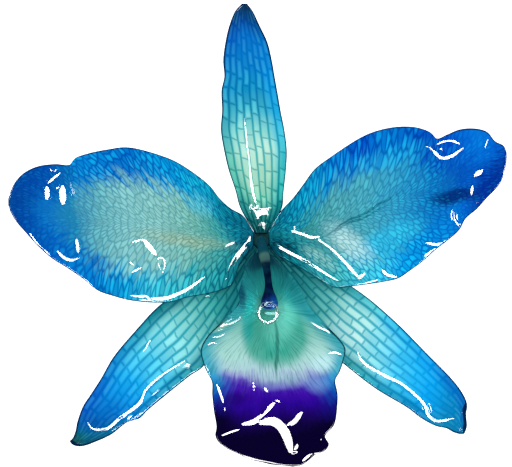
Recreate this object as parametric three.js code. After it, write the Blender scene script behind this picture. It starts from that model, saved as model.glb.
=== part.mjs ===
// A blue-dyed orchid bloom of the cattleya kind, coated in clear resin and lying on its back.
// Millimetres. +Z comes up out of the face of the bloom, +Y points along the dorsal sepal.
// The origin is under the middle of the bloom, on the surface that it lies on.

import * as THREE from "three";

// Sizes
const BLADE_RIM = 0.7; // thickness of every blade at its margin
const SEPAL_BODY = 1.2; // thickness of a sepal along its middle
const PETAL_BODY = 1.0; // thickness of a petal along its middle
const LIP_BODY = 1.1; // thickness of the lip along its middle
const RIM_ROUND = 0.2; // how far the rounded rim reaches past the two faces
const BLADE_STEPS = 2; // sections from one row of a blade to the next
const SLOPE_STEP = 0.002; // share of a blade over which its slope is measured

// Colours of the coated tissue
const DORSAL_BLUE = "#2b93c4";
const PETAL_BLUE = "#2f86c9";
const SEPAL_BLUE = "#2a8fbe";
const LIP_VIOLET = "#2b5f9e";
const COLUMN_NAVY = "#10306e";
const CAP_PALE = "#a9dcd8";
const CLEAR_RESIN = "#d8f3f2";
const CLEAR_LOOK = { roughness: 0.05, transparent: true, opacity: 0.5 };

// A blade is a sepal, a petal or the lip. Each row is one station, from the base to the tip:
// the left margin and the right margin as they are seen on the way out, and the height of the
// middle. A crease is a raised line through points in plan, with its rise and its reach.
const DORSAL_SEPAL = {
  rows: [
    [[-0.4, 0.0, 4.8], [1.8, 0.0, 4.8], 4.8],
    [[-3.1, 4.7, 4.6], [4.4, 4.7, 4.6], 4.9],
    [[-4.0, 7.9, 4.5], [4.7, 7.6, 4.3], 4.7],
    [[-5.2, 11.5, 4.4], [5.1, 11.2, 3.9], 4.3],
    [[-6.0, 14.9, 4.3], [5.3, 14.8, 3.4], 3.8],
    [[-6.6, 18.7, 3.9], [4.9, 18.5, 3.1], 3.3],
    [[-6.4, 22.3, 3.2], [4.2, 22.1, 2.9], 2.7],
    [[-6.5, 25.9, 2.5], [3.6, 25.6, 2.6], 2.1],
    [[-6.0, 28.4, 1.6], [3.1, 28.4, 2.2], 1.6],
    [[-6.2, 31.3, 1.4], [2.6, 31.3, 1.5], 0.8],
    [[-5.8, 34.6, 1.0], [1.8, 34.6, 1.1], 0.4],
    [[-5.1, 37.6, 0.7], [0.4, 37.6, 0.8], 0.35],
    [[-4.0, 40.3, 0.7], [-0.9, 40.3, 0.7], 0.7],
    [[-2.8, 41.6, 0.9], [-1.9, 41.6, 0.9], 0.9],
  ],
  creases: [{ through: [[-2.4, 20.5], [-1.0, 8.3], [1.0, 3.4]], rise: 0.25, reach: 1.3 }],
  body: SEPAL_BODY,
  across: 10,
};

const LEFT_PETAL = {
  rows: [
    [[-0.6, -2.0, 6.4], [-0.6, 0.2, 6.4], 6.4],
    [[-2.2, -4.0, 6.5], [-2.6, 3.3, 6.8], 6.6],
    [[-3.6, -6.2, 6.5], [-4.8, 4.6, 7.2], 6.8],
    [[-4.7, -9.1, 6.6], [-6.8, 6.4, 7.4], 7.1],
    [[-7.1, -10.3, 6.7], [-8.7, 8.8, 7.3], 7.4],
    [[-13.0, -11.5, 7.0], [-13.9, 12.6, 6.8], 7.9],
    [[-16.1, -12.3, 6.6], [-17.0, 14.0, 7.0], 8.1],
    [[-22.6, -12.0, 6.0], [-23.3, 15.6, 7.8], 8.0],
    [[-26.2, -11.1, 6.4], [-27.1, 15.2, 7.6], 7.8],
    [[-28.7, -10.2, 6.9], [-30.5, 14.5, 7.0], 7.5],
    [[-31.2, -8.2, 6.6], [-32.7, 13.7, 6.2], 7.2],
    [[-34.1, -6.2, 6.2], [-33.8, 12.5, 5.6], 6.8],
    [[-37.0, -4.4, 5.9], [-36.4, 12.6, 6.1], 6.4],
    [[-39.5, -2.2, 5.7], [-39.5, 12.2, 6.3], 6.05],
    [[-41.7, 0.2, 5.55], [-41.9, 11.1, 6.1], 5.75],
    [[-43.5, 2.3, 5.45], [-43.6, 9.4, 5.8], 5.5],
    [[-44.5, 4.0, 5.35], [-44.5, 7.6, 5.5], 5.35],
    [[-44.9, 5.2, 5.3], [-44.9, 6.3, 5.35], 5.3],
  ],
  creases: [
    {
      through: [[-0.6, -2.0], [-1.8, -3.2], [-3.2, -4.9], [-4.0, -6.5], [-4.6, -8.3]],
      rise: 0.3,
      reach: 1.3,
    },
    { through: [[-19.4, -11.3], [-14.8, -10.2], [-10.2, -7.9]], rise: 0.2, reach: 1.3 },
  ],
  body: PETAL_BODY,
  across: 14,
};

const RIGHT_PETAL = {
  rows: [
    [[2.0, 0.2, 6.4], [2.0, -2.0, 6.4], 6.4],
    [[3.6, 3.4, 6.9], [3.4, -3.7, 6.5], 6.7],
    [[4.8, 4.8, 7.3], [5.7, -5.0, 6.4], 6.9],
    [[6.4, 6.5, 7.6], [8.6, -6.6, 6.4], 7.1],
    [[8.2, 8.9, 7.5], [11.5, -8.4, 6.5], 7.3],
    [[10.3, 11.7, 7.2], [14.2, -9.7, 6.6], 7.5],
    [[13.2, 13.9, 7.0], [17.0, -9.4, 6.4], 7.7],
    [[18.8, 17.5, 7.7], [22.8, -8.6, 6.2], 8.0],
    [[21.9, 18.7, 8.1], [25.3, -8.0, 6.8], 8.0],
    [[25.3, 19.3, 8.2], [27.6, -6.5, 7.2], 7.9],
    [[28.5, 19.2, 7.6], [30.0, -4.7, 6.9], 7.7],
    [[30.9, 18.4, 7.0], [32.1, -2.8, 6.6], 7.4],
    [[32.3, 17.2, 6.4], [34.3, -1.1, 6.4], 7.1],
    [[34.1, 17.9, 6.6], [36.3, 0.7, 6.5], 6.8],
    [[36.3, 18.8, 7.1], [37.5, 2.8, 6.6], 6.5],
    [[39.0, 19.0, 7.1], [39.5, 4.5, 6.3], 6.2],
    [[41.3, 18.4, 6.7], [41.3, 6.5, 5.9], 5.95],
    [[42.8, 16.7, 6.3], [42.8, 8.0, 5.65], 5.75],
    [[44.3, 15.9, 5.95], [43.9, 9.5, 5.5], 5.6],
    [[44.9, 14.6, 5.7], [44.8, 12.5, 5.5], 5.55],
  ],
  creases: [
    {
      through: [[2.0, -2.0], [3.2, -2.9], [5.0, -4.1], [8.6, -5.9], [12.2, -8.4], [14.1, -9.4]],
      rise: 0.3,
      reach: 1.3,
    },
    { through: [[6.6, 0.4], [10.9, -1.1], [14.9, -4.3], [18.5, -8.3]], rise: 0.25, reach: 1.3 },
  ],
  body: PETAL_BODY,
  across: 14,
};

const LEFT_SEPAL = {
  rows: [
    [[0.5, -2.8, 4.8], [-0.9, -1.5, 4.8], 4.8],
    [[-0.3, -5.0, 4.8], [-3.5, -2.6, 4.7], 4.9],
    [[-3.5, -13.0, 4.7], [-9.4, -6.4, 4.3], 4.9],
    [[-5.5, -16.9, 4.4], [-12.5, -8.8, 4.2], 4.7],
    [[-9.7, -23.8, 3.4], [-18.4, -13.5, 4.3], 4.0],
    [[-12.2, -25.6, 2.8], [-21.1, -16.4, 4.1], 3.5],
    [[-17.4, -29.8, 1.8], [-26.0, -22.2, 2.7], 2.3],
    [[-19.9, -31.9, 1.3], [-28.2, -26.0, 2.1], 1.7],
    [[-21.3, -33.3, 1.0], [-30.0, -28.8, 1.5], 1.15],
    [[-23.5, -34.0, 0.8], [-31.5, -31.1, 1.05], 0.65],
    [[-26.4, -36.2, 0.6], [-32.5, -33.8, 0.8], 0.3],
    [[-29.2, -37.5, 0.7], [-32.9, -35.7, 0.7], 0.4],
    [[-31.6, -38.3, 1.0], [-33.4, -36.9, 1.0], 0.9],
    [[-33.0, -38.1, 1.4], [-33.9, -37.3, 1.4], 1.4],
  ],
  creases: [
    {
      through: [[-26.4, -34.6], [-23.3, -32.0], [-19.9, -28.4], [-15.8, -25.0], [-13.1, -22.7]],
      rise: 0.25,
      reach: 1.3,
    },
  ],
  body: SEPAL_BODY,
  across: 10,
};

const RIGHT_SEPAL = {
  rows: [
    [[2.3, -1.4, 4.8], [1.0, -2.8, 4.8], 4.8],
    [[5.3, -2.6, 4.7], [2.2, -5.0, 4.8], 4.9],
    [[11.6, -5.8, 4.4], [6.6, -13.0, 4.7], 4.9],
    [[14.5, -7.7, 4.3], [9.3, -16.9, 4.4], 4.7],
    [[17.4, -9.7, 4.2], [12.3, -20.7, 3.9], 4.4],
    [[20.4, -11.9, 4.2], [15.5, -23.4, 3.3], 4.0],
    [[25.6, -16.5, 3.5], [21.3, -27.9, 2.3], 3.0],
    [[30.7, -21.7, 2.3], [27.1, -31.4, 1.4], 1.8],
    [[33.0, -24.0, 1.8], [29.6, -33.3, 1.0], 1.2],
    [[35.2, -26.3, 1.3], [32.3, -34.7, 0.7], 0.65],
    [[36.8, -28.4, 0.9], [34.1, -35.1, 0.6], 0.3],
    [[37.7, -30.3, 0.8], [35.4, -35.8, 0.7], 0.35],
    [[37.4, -31.7, 0.9], [36.4, -36.1, 0.9], 0.6],
    [[37.6, -34.4, 1.3], [37.3, -36.1, 1.2], 1.2],
  ],
  creases: [
    {
      through: [[17.6, -20.9], [18.5, -22.9], [23.0, -25.6], [27.8, -29.0], [31.1, -33.1], [35.6, -33.5]],
      rise: 0.25,
      reach: 1.3,
    },
  ],
  body: SEPAL_BODY,
  across: 10,
};

const LIP = {
  rows: [
    [[1.9, -3.4, 6.3], [-0.5, -3.4, 6.3], 6.2],
    [[4.0, -5.2, 8.0], [-1.8, -5.2, 8.2], 7.0],
    [[6.6, -8.1, 10.2], [-2.8, -8.3, 10.8], 7.8],
    [[8.0, -10.8, 11.2], [-3.2, -10.6, 11.7], 8.3],
    [[9.4, -13.3, 11.3], [-3.3, -12.6, 11.7], 8.6],
    [[11.1, -15.3, 10.9], [-4.6, -14.2, 11.2], 8.9],
    [[13.2, -17.3, 10.3], [-6.9, -16.2, 10.4], 9.2],
    [[15.0, -19.2, 9.8], [-9.1, -18.5, 9.9], 9.4],
    [[15.8, -20.7, 9.6], [-10.2, -20.8, 9.7], 9.5],
    [[15.4, -22.9, 9.2], [-9.8, -23.0, 9.3], 9.4],
    [[14.8, -24.7, 9.0], [-9.1, -24.8, 8.8], 9.2],
    [[14.0, -26.3, 8.7], [-8.2, -26.6, 8.5], 9.0],
    [[14.4, -28.7, 8.4], [-8.15, -28.9, 8.2], 8.75],
    [[14.35, -31.1, 8.0], [-7.85, -31.8, 7.7], 8.4],
    [[13.8, -34.3, 7.4], [-7.4, -34.7, 7.3], 7.8],
    [[12.2, -36.4, 7.1], [-7.6, -36.2, 7.0], 7.4],
    [[12.85, -37.8, 6.9], [-7.1, -37.3, 6.8], 7.15],
    [[12.3, -38.85, 6.75], [-5.7, -38.45, 6.7], 6.95],
    [[10.4, -39.75, 6.6], [-3.55, -39.5, 6.6], 6.75],
    [[9.0, -40.9, 6.45], [-1.4, -40.5, 6.45], 6.55],
    [[7.9, -41.6, 6.35], [1.0, -41.0, 6.4], 6.4],
    [[6.3, -41.9, 6.3], [3.0, -41.3, 6.3], 6.3],
  ],
  creases: [
    {
      through: [
        [-1.4, -15.5],
        [-1.7, -19.1],
        [-0.8, -21.8],
        [1.4, -23.4],
        [3.5, -23.6],
        [5.9, -22.1],
        [7.3, -20.0],
        [7.7, -16.4],
      ],
      rise: 0.25,
      reach: 1.6,
    },
    { through: [[3.2, -16.4], [3.2, -29.0]], rise: 0.2, reach: 1.4 },
  ],
  body: LIP_BODY,
  across: 16,
};

// The column stands on the top of the ovary, which is cut off just behind the bloom.
// Each row is the middle of a round section and its radius, from the cut end to the tip.
const COLUMN_ROWS = [
  [0.7, -1.2, 0.6, 1.5],
  [0.7, -1.2, 1.6, 1.7],
  [0.7, -1.2, 3.2, 2.1],
  [0.7, -1.2, 3.8, 1.7],
  [0.7, -1.2, 4.1, 0.85],
  [0.7, -1.2, 5.6, 0.8],
  [0.8, -1.8, 7.4, 0.85],
  [1.2, -3.8, 9.2, 0.95],
  [1.65, -6.2, 9.9, 0.68],
  [1.95, -8.6, 10.3, 0.62],
  [2.05, -10.2, 10.6, 0.85],
  [2.1, -11.4, 10.9, 1.3],
  [2.15, -12.4, 11.1, 1.55],
  [2.2, -13.1, 11.2, 1.4],
  [2.2, -13.5, 11.2, 0.9],
];
const COLUMN_SIDES = 14;
const COLUMN_STEPS = 2; // sections to each row

// The anther cap closes the tip of the column, and a flat drop of resin lies over the two. The edge
// is the power of the profile: 1 is an oval, and below 1 the body is flatter with a rounder edge.
const ANTHER_CAP = {
  middle: [2.2, -14.15, 11.2],
  radii: [0.95, 0.35, 0.9],
  edge: 1,
  rings: 8,
  sides: 12,
};
const RESIN_DROP = {
  middle: [1.9, -14.1, 13.45],
  radii: [1.95, 2.05, 0.5],
  edge: 0.5,
  rings: 12,
  sides: 24,
};

// Distance in plan from a point to a line through points
function distanceToPath(point, path) {
  const here = new THREE.Vector3(point.x, point.y, 0);
  const nearest = new THREE.Vector3();
  let best = Infinity;
  for (let i = 1; i < path.length; i++) {
    const start = new THREE.Vector3(...path[i - 1], 0);
    const end = new THREE.Vector3(...path[i], 0);
    new THREE.Line3(start, end).closestPointToPoint(here, true, nearest);
    best = Math.min(best, nearest.distanceTo(here));
  }
  return best;
}

// The middle surface of a blade: along runs from 0 at the base to 1 at the tip, across from -1
// at the left margin to 1 at the right margin. Every section is a parabola through the two
// margins and the middle, and the creases are added to its height.
function bladeSurface({ rows, creases }) {
  const splineOf = (pick) => new THREE.CatmullRomCurve3(rows.map(pick));
  const left = splineOf(([a]) => new THREE.Vector3(...a));
  const right = splineOf(([, b]) => new THREE.Vector3(...b));
  const middle = splineOf(([a, b, z]) => new THREE.Vector3((a[0] + b[0]) / 2, (a[1] + b[1]) / 2, z));
  const at = (along, across) => {
    const point = new THREE.Vector3()
      .addScaledVector(left.getPoint(along), (across * (across - 1)) / 2)
      .addScaledVector(middle.getPoint(along), 1 - across * across)
      .addScaledVector(right.getPoint(along), (across * (across + 1)) / 2);
    for (const { through, rise, reach } of creases) {
      point.z += rise * Math.exp(-((distanceToPath(point, through) / reach) ** 2));
    }
    return point;
  };
  const halfWidth = (along) => left.getPoint(along).distanceTo(right.getPoint(along)) / 2;
  return { at, halfWidth };
}

// Unit vectors of a blade's surface at one place: out towards the tip, across and up
function bladeDirections(at, along, across) {
  const before = at(Math.max(along - SLOPE_STEP, 0), across);
  const after = at(Math.min(along + SLOPE_STEP, 1), across);
  const outward = after.sub(before).normalize();
  const leftOf = at(along, across - SLOPE_STEP);
  const sideways = at(along, across + SLOPE_STEP).sub(leftOf).normalize();
  const up = sideways.clone().cross(outward).normalize();
  return { outward, sideways, up };
}

// A closed blade: an upper and a lower face with the same triangles, and a rounded rim.
// The lower face is flat where it would reach under the surface that the bloom lies on.
function bladeGeometry(blade) {
  const { at, halfWidth } = bladeSurface(blade);
  const sections = BLADE_STEPS * (blade.rows.length - 1);
  const width = blade.across + 1;
  const points = { upper: [], lower: [], rim: [] };
  for (let i = 0; i <= sections; i++) {
    const along = i / sections;
    const inset = 1 - RIM_ROUND / halfWidth(along);
    for (let j = 0; j <= blade.across; j++) {
      const edgeToEdge = (2 * j) / blade.across - 1;
      const middle = at(along, edgeToEdge * inset);
      const { outward, up } = bladeDirections(at, along, edgeToEdge * inset);
      const half = (BLADE_RIM + (blade.body - BLADE_RIM) * (1 - edgeToEdge ** 2)) / 2;
      const lower = middle.clone().addScaledVector(up, -half);
      lower.z = Math.max(lower.z, 0);
      points.upper.push(middle.clone().addScaledVector(up, half));
      points.lower.push(lower);
      const side = j === 0 || j === blade.across ? edgeToEdge : edgeToEdge * inset;
      const end = i === 0 ? -RIM_ROUND : i === sections ? RIM_ROUND : 0;
      points.rim.push(at(along, side).addScaledVector(outward, end));
    }
  }

  const faces = [];
  const lowerStart = points.upper.length;
  for (let i = 0; i < sections; i++) {
    for (let j = 0; j < blade.across; j++) {
      const a = i * width + j;
      const [b, c, d] = [a + 1, a + width + 1, a + width];
      const split = (i + j) % 2 ? [[a, b, c], [a, c, d]] : [[a, b, d], [b, c, d]];
      for (const [p, q, r] of split) {
        faces.push(p, q, r);
        faces.push(p + lowerStart, r + lowerStart, q + lowerStart);
      }
    }
  }

  const loop = [];
  for (let j = 0; j < blade.across; j++) loop.push(j);
  for (let i = 0; i < sections; i++) loop.push(i * width + blade.across);
  for (let j = blade.across; j > 0; j--) loop.push(sections * width + j);
  for (let i = sections; i > 0; i--) loop.push(i * width);
  const rimStart = 2 * lowerStart;
  const all = [...points.upper, ...points.lower, ...loop.map((k) => points.rim[k])];
  loop.forEach((top, k) => {
    const next = (k + 1) % loop.length;
    const [topNext, rim, rimNext] = [loop[next], rimStart + k, rimStart + next];
    faces.push(top, rim, topNext, topNext, rim, rimNext);
    faces.push(rim, top + lowerStart, rimNext, rimNext, top + lowerStart, topNext + lowerStart);
  });
  return indexedGeometry(all, faces);
}

function indexedGeometry(points, faces) {
  const geometry = new THREE.BufferGeometry().setFromPoints(points);
  geometry.setIndex(faces);
  geometry.computeVertexNormals();
  return geometry;
}

// A round body along a curve, with a radius of its own at each section and closed ends
function sweptBody(rows, sides, stepsPerRow) {
  const curve = new THREE.CatmullRomCurve3(rows.map(([x, y, z]) => new THREE.Vector3(x, y, z)));
  const radii = new THREE.CatmullRomCurve3(rows.map((row) => new THREE.Vector3(row[3], 0, 0)));
  const sections = (rows.length - 1) * stepsPerRow;
  const sideAxis = new THREE.Vector3(1, 0, 0);
  const points = [];
  const faces = [];
  for (let i = 0; i <= sections; i++) {
    const middle = curve.getPoint(i / sections);
    const radius = radii.getPoint(i / sections).x;
    const forward = curve.getTangent(i / sections);
    const front = new THREE.Vector3().crossVectors(forward, sideAxis).normalize();
    const side = new THREE.Vector3().crossVectors(front, forward).normalize();
    for (let j = 0; j < sides; j++) {
      const turn = (2 * Math.PI * j) / sides;
      points.push(
        middle
          .clone()
          .addScaledVector(side, radius * Math.cos(turn))
          .addScaledVector(front, radius * Math.sin(turn)),
      );
    }
  }
  const last = sections * sides;
  for (let i = 0; i < last; i += sides) {
    for (let j = 0; j < sides; j++) {
      const [a, b] = [i + j, i + ((j + 1) % sides)];
      faces.push(a, b, a + sides, b, b + sides, a + sides);
    }
  }
  const startMiddle = points.push(curve.getPoint(0)) - 1;
  const endMiddle = points.push(curve.getPoint(1)) - 1;
  for (let j = 0; j < sides; j++) {
    const next = (j + 1) % sides;
    faces.push(startMiddle, next, j);
    faces.push(endMiddle, last + j, last + next);
  }
  return indexedGeometry(points, faces);
}

// A round body with its poles up and down, stretched to three radii
function ovalBody({ radii, edge, rings, sides }) {
  const profile = [];
  for (let i = 0; i <= rings; i++) {
    const turn = (Math.PI * i) / rings - Math.PI / 2;
    const onAxis = i === 0 || i === rings;
    profile.push(new THREE.Vector2(onAxis ? 0 : Math.cos(turn) ** edge, Math.sin(turn)));
  }
  return new THREE.LatheGeometry(profile, sides).rotateX(Math.PI / 2).scale(...radii);
}

const bloom = new THREE.Group();

function addPiece(name, geometry, colour, look = {}) {
  const material = new THREE.MeshStandardMaterial({ color: colour, roughness: 0.12, metalness: 0, ...look });
  const mesh = new THREE.Mesh(geometry, material);
  mesh.name = name;
  bloom.add(mesh);
  return mesh;
}

addPiece("dorsal_sepal", bladeGeometry(DORSAL_SEPAL), DORSAL_BLUE);
addPiece("left_sepal", bladeGeometry(LEFT_SEPAL), SEPAL_BLUE);
addPiece("right_sepal", bladeGeometry(RIGHT_SEPAL), SEPAL_BLUE);
addPiece("left_petal", bladeGeometry(LEFT_PETAL), PETAL_BLUE);
addPiece("right_petal", bladeGeometry(RIGHT_PETAL), PETAL_BLUE);
addPiece("lip", bladeGeometry(LIP), LIP_VIOLET);
addPiece("column", sweptBody(COLUMN_ROWS, COLUMN_SIDES, COLUMN_STEPS), COLUMN_NAVY);
addPiece("anther_cap", ovalBody(ANTHER_CAP), CAP_PALE).position.set(...ANTHER_CAP.middle);
addPiece("resin_drop", ovalBody(RESIN_DROP), CLEAR_RESIN, CLEAR_LOOK).position.set(...RESIN_DROP.middle);

export default bloom;
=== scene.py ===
"""A blue-dyed orchid bloom in clear resin, lying face up on a pale floor, seen from straight above.

Sizes are in millimetres until a mesh is filled, where they become metres. Places on the bloom that
were read off the photograph are in its pixels and pass through on_bloom().
"""

import functools
import math

import bpy
import numpy as np
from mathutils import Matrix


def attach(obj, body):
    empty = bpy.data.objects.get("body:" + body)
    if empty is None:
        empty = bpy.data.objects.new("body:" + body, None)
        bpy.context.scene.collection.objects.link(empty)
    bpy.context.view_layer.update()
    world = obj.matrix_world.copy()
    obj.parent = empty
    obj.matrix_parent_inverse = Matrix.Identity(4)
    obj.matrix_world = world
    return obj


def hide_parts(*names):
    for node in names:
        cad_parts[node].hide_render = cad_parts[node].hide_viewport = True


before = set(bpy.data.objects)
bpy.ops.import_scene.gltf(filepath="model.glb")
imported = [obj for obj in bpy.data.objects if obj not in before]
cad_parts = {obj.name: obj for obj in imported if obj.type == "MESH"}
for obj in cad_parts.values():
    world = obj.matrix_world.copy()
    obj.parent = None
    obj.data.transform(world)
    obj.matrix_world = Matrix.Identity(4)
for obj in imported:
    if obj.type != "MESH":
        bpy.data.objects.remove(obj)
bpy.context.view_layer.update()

# Units and sizes
MM = 0.001
BLADE_RIM = 0.7  # thickness of every blade at its margin
SEPAL_BODY = 1.2  # thickness of a sepal along its middle
PETAL_BODY = 1.0  # thickness of a petal along its middle
LIP_BODY = 1.1  # thickness of the lip along its middle
RIM_RADIUS = 0.35  # rounding of every margin
# distances from a margin that get their own points
EDGE_STEPS = np.array([0.0, 0.02, 0.07, 0.16, 0.28, 0.42])

# The photograph
PHOTO_SIZE = (512, 467)
MM_PER_PIXEL = 0.18
BLOOM_PIXEL = (257.5, 234.0)  # the pixel over the origin
CAMERA_HEIGHT = 1800.0  # over the face of the bloom
FACE_HEIGHT = 6.0  # of the face of the bloom over the surface that it lies on
SENSOR_WIDTH = 36.0

# The studio: softboxes stand in a half ring about the lower side of the picture, where resin that
# slopes half as far from level as the ring stands from the zenith mirrors them to the camera.
RING_REACH = 1500.0
RING_FROM_ZENITH = math.radians(48)
RING_OUT = RING_REACH * math.sin(RING_FROM_ZENITH)
RING_HIGH = RING_REACH * math.cos(RING_FROM_ZENITH)
SOFTBOX_TURNS = range(-195, -14, 30)  # degrees from +X
SOFTBOX_SIZE = (800.0, 300.0)
SOFTBOX_RADIANCE = 27.0

# Beads of resin
GLINT_FLANK = 1.5  # how gently a bead falls away beside its glint, in half widths of the glint
GLINT_END = 1.2  # how gently it falls away past its ends, in half widths
GLINT_TAPER = 0.5  # how much narrower a glint is at its ends
GLINT_REACH = 2.5  # how far from its line a bead is worked out, in widths
LEAST_TILT = 0.3  # least share of the mirror's slope, squared, where the blade tilts along the line
DOT_REACH = 0.1  # how far the bead of a single pixel runs to either side
RIPPLE_WAVES = 16
RIPPLE_LENGTHS = (3, 7)
RIPPLE_HEIGHT = 0.004

# The room and the paper floor
ROOM_LIGHT = 1.15
FLOOR_GLOW = 1.0
UNDER_BLOOM = 0.15  # mm from the lowest points of the bloom down to the paper

# Seed and steps of the meshes
SEED = 7
UNDER_STEP = 3  # the underside of a blade has every third point of its face
PATH_STEPS = 3000  # for the length of a blade
LINE_STEPS = 5  # straight stretches to each span of a resin line
OUTLINE_STEPS = 8  # points on a turned outline for each point given
SEPAL_GRID, PETAL_GRID, LIP_GRID = (480, 120), (384, 222), (345, 240)  # steps along and across
COLUMN_GRID, ANTHER_GRID, DROP_SIDES = (110, 40), (20, 48), 96  # rings and sides

# Looks
DULL_EDGE = 0.4  # share of a dull patch, from its rim inwards, over which the gloss fades
RELIEF = 0.05  # depth of the fine unevenness of tissue and resin

# The blades. Each row is one station from the base to the tip: the left margin and the right
# margin as they are seen on the way out, and the height of the middle. A crease is a raised line
# through points in plan, with its rise and its reach. Resin lines are beads of resin, in pixels of
# the photograph, with the width of the light that they catch in millimetres.
DORSAL_SEPAL = dict(
    rows=[
        ((-0.4, 0.0, 4.8), (1.8, 0.0, 4.8), 4.8), ((-3.1, 4.7, 4.6), (4.4, 4.7, 4.6), 4.9),
        ((-4.0, 7.9, 4.5), (4.7, 7.6, 4.3), 4.7), ((-5.2, 11.5, 4.4), (5.1, 11.2, 3.9), 4.3),
        ((-6.0, 14.9, 4.3), (5.3, 14.8, 3.4), 3.8), ((-6.6, 18.7, 3.9), (4.9, 18.5, 3.1), 3.3),
        ((-6.4, 22.3, 3.2), (4.2, 22.1, 2.9), 2.7), ((-6.5, 25.9, 2.5), (3.6, 25.6, 2.6), 2.1),
        ((-6.0, 28.4, 1.6), (3.1, 28.4, 2.2), 1.6), ((-6.2, 31.3, 1.4), (2.6, 31.3, 1.5), 0.8),
        ((-5.8, 34.6, 1.0), (1.8, 34.6, 1.1), 0.4), ((-5.1, 37.6, 0.7), (0.4, 37.6, 0.8), 0.35),
        ((-4.0, 40.3, 0.7), (-0.9, 40.3, 0.7), 0.7), ((-2.8, 41.6, 0.9), (-1.9, 41.6, 0.9), 0.9),
    ],
    creases=[([(-2.4, 20.5), (-1.0, 8.3), (1.0, 3.4)], 0.25, 1.3)],
    resin_lines=[
        ([(244, 119), (246, 140), (249, 165), (252, 188), (256, 203)], 0.5),
        ([(253, 211), (263, 214), (274, 211)], 1.9), ([(264, 223), (265.5, 229)], 1.0),
    ],
    body=SEPAL_BODY, grid=SEPAL_GRID,
)

LEFT_PETAL = dict(
    rows=[
        ((-0.6, -2.0, 6.4), (-0.6, 0.2, 6.4), 6.4), ((-2.2, -4.0, 6.5), (-2.6, 3.3, 6.8), 6.6),
        ((-3.6, -6.2, 6.5), (-4.8, 4.6, 7.2), 6.8), ((-4.7, -9.1, 6.6), (-6.8, 6.4, 7.4), 7.1),
        ((-7.1, -10.3, 6.7), (-8.7, 8.8, 7.3), 7.4), ((-13.0, -11.5, 7.0), (-13.9, 12.6, 6.8), 7.9),
        ((-16.1, -12.3, 6.6), (-17.0, 14.0, 7.0), 8.1), ((-22.6, -12.0, 6.0), (-23.3, 15.6, 7.8), 8.0),
        ((-26.2, -11.1, 6.4), (-27.1, 15.2, 7.6), 7.8), ((-28.7, -10.2, 6.9), (-30.5, 14.5, 7.0), 7.5),
        ((-31.2, -8.2, 6.6), (-32.7, 13.7, 6.2), 7.2), ((-34.1, -6.2, 6.2), (-33.8, 12.5, 5.6), 6.8),
        ((-37.0, -4.4, 5.9), (-36.4, 12.6, 6.1), 6.4), ((-39.5, -2.2, 5.7), (-39.5, 12.2, 6.3), 6.05),
        ((-41.7, 0.2, 5.55), (-41.9, 11.1, 6.1), 5.75), ((-43.5, 2.3, 5.45), (-43.6, 9.4, 5.8), 5.5),
        ((-44.5, 4.0, 5.35), (-44.5, 7.6, 5.5), 5.35), ((-44.9, 5.2, 5.3), (-44.9, 6.3, 5.35), 5.3),
    ],
    creases=[
        ([(-0.6, -2.0), (-1.8, -3.2), (-3.2, -4.9), (-4.0, -6.5), (-4.6, -8.3)], 0.3, 1.3),
        ([(-19.4, -11.3), (-14.8, -10.2), (-10.2, -7.9)], 0.2, 1.3),
    ],
    resin_lines=[
        ([(250, 237), (248.5, 242), (244, 248), (236.5, 257), (231, 267), (227.5, 278)], 0.8),
        ([(49, 168), (53, 172), (57, 169)], 0.4), ([(48, 183), (59.5, 173.5)], 0.65),
        ([(47.5, 199), (47, 187)], 0.95), ([(62.5, 187), (63.5, 203)], 1.4), ([(71.5, 194)], 0.3),
        ([(77, 239), (79, 252)], 0.65), ([(58, 251), (64, 257), (72, 260), (81, 257)], 0.5),
        ([(144.5, 240), (156, 254.5)], 1.0), ([(132, 242), (143, 239)], 0.45),
        ([(156, 262), (160, 257), (164, 259), (165, 265), (162, 275)], 0.4),
        ([(158, 262), (160, 267), (163, 272)], 0.3), ([(132, 272), (142, 267)], 0.45),
        ([(129, 261), (134, 265)], 0.3), ([(30, 233), (40, 246), (50, 254)], 0.25),
        ([(130, 295), (140, 296), (147, 296), (151, 300)], 0.35),
        ([(152, 298), (168, 297), (185, 290), (204, 277)], 0.55), ([(225, 246), (234, 242)], 0.4),
        ([(241, 267.5), (246, 264.5)], 0.35),
    ],
    body=PETAL_BODY, grid=PETAL_GRID,
)

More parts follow.
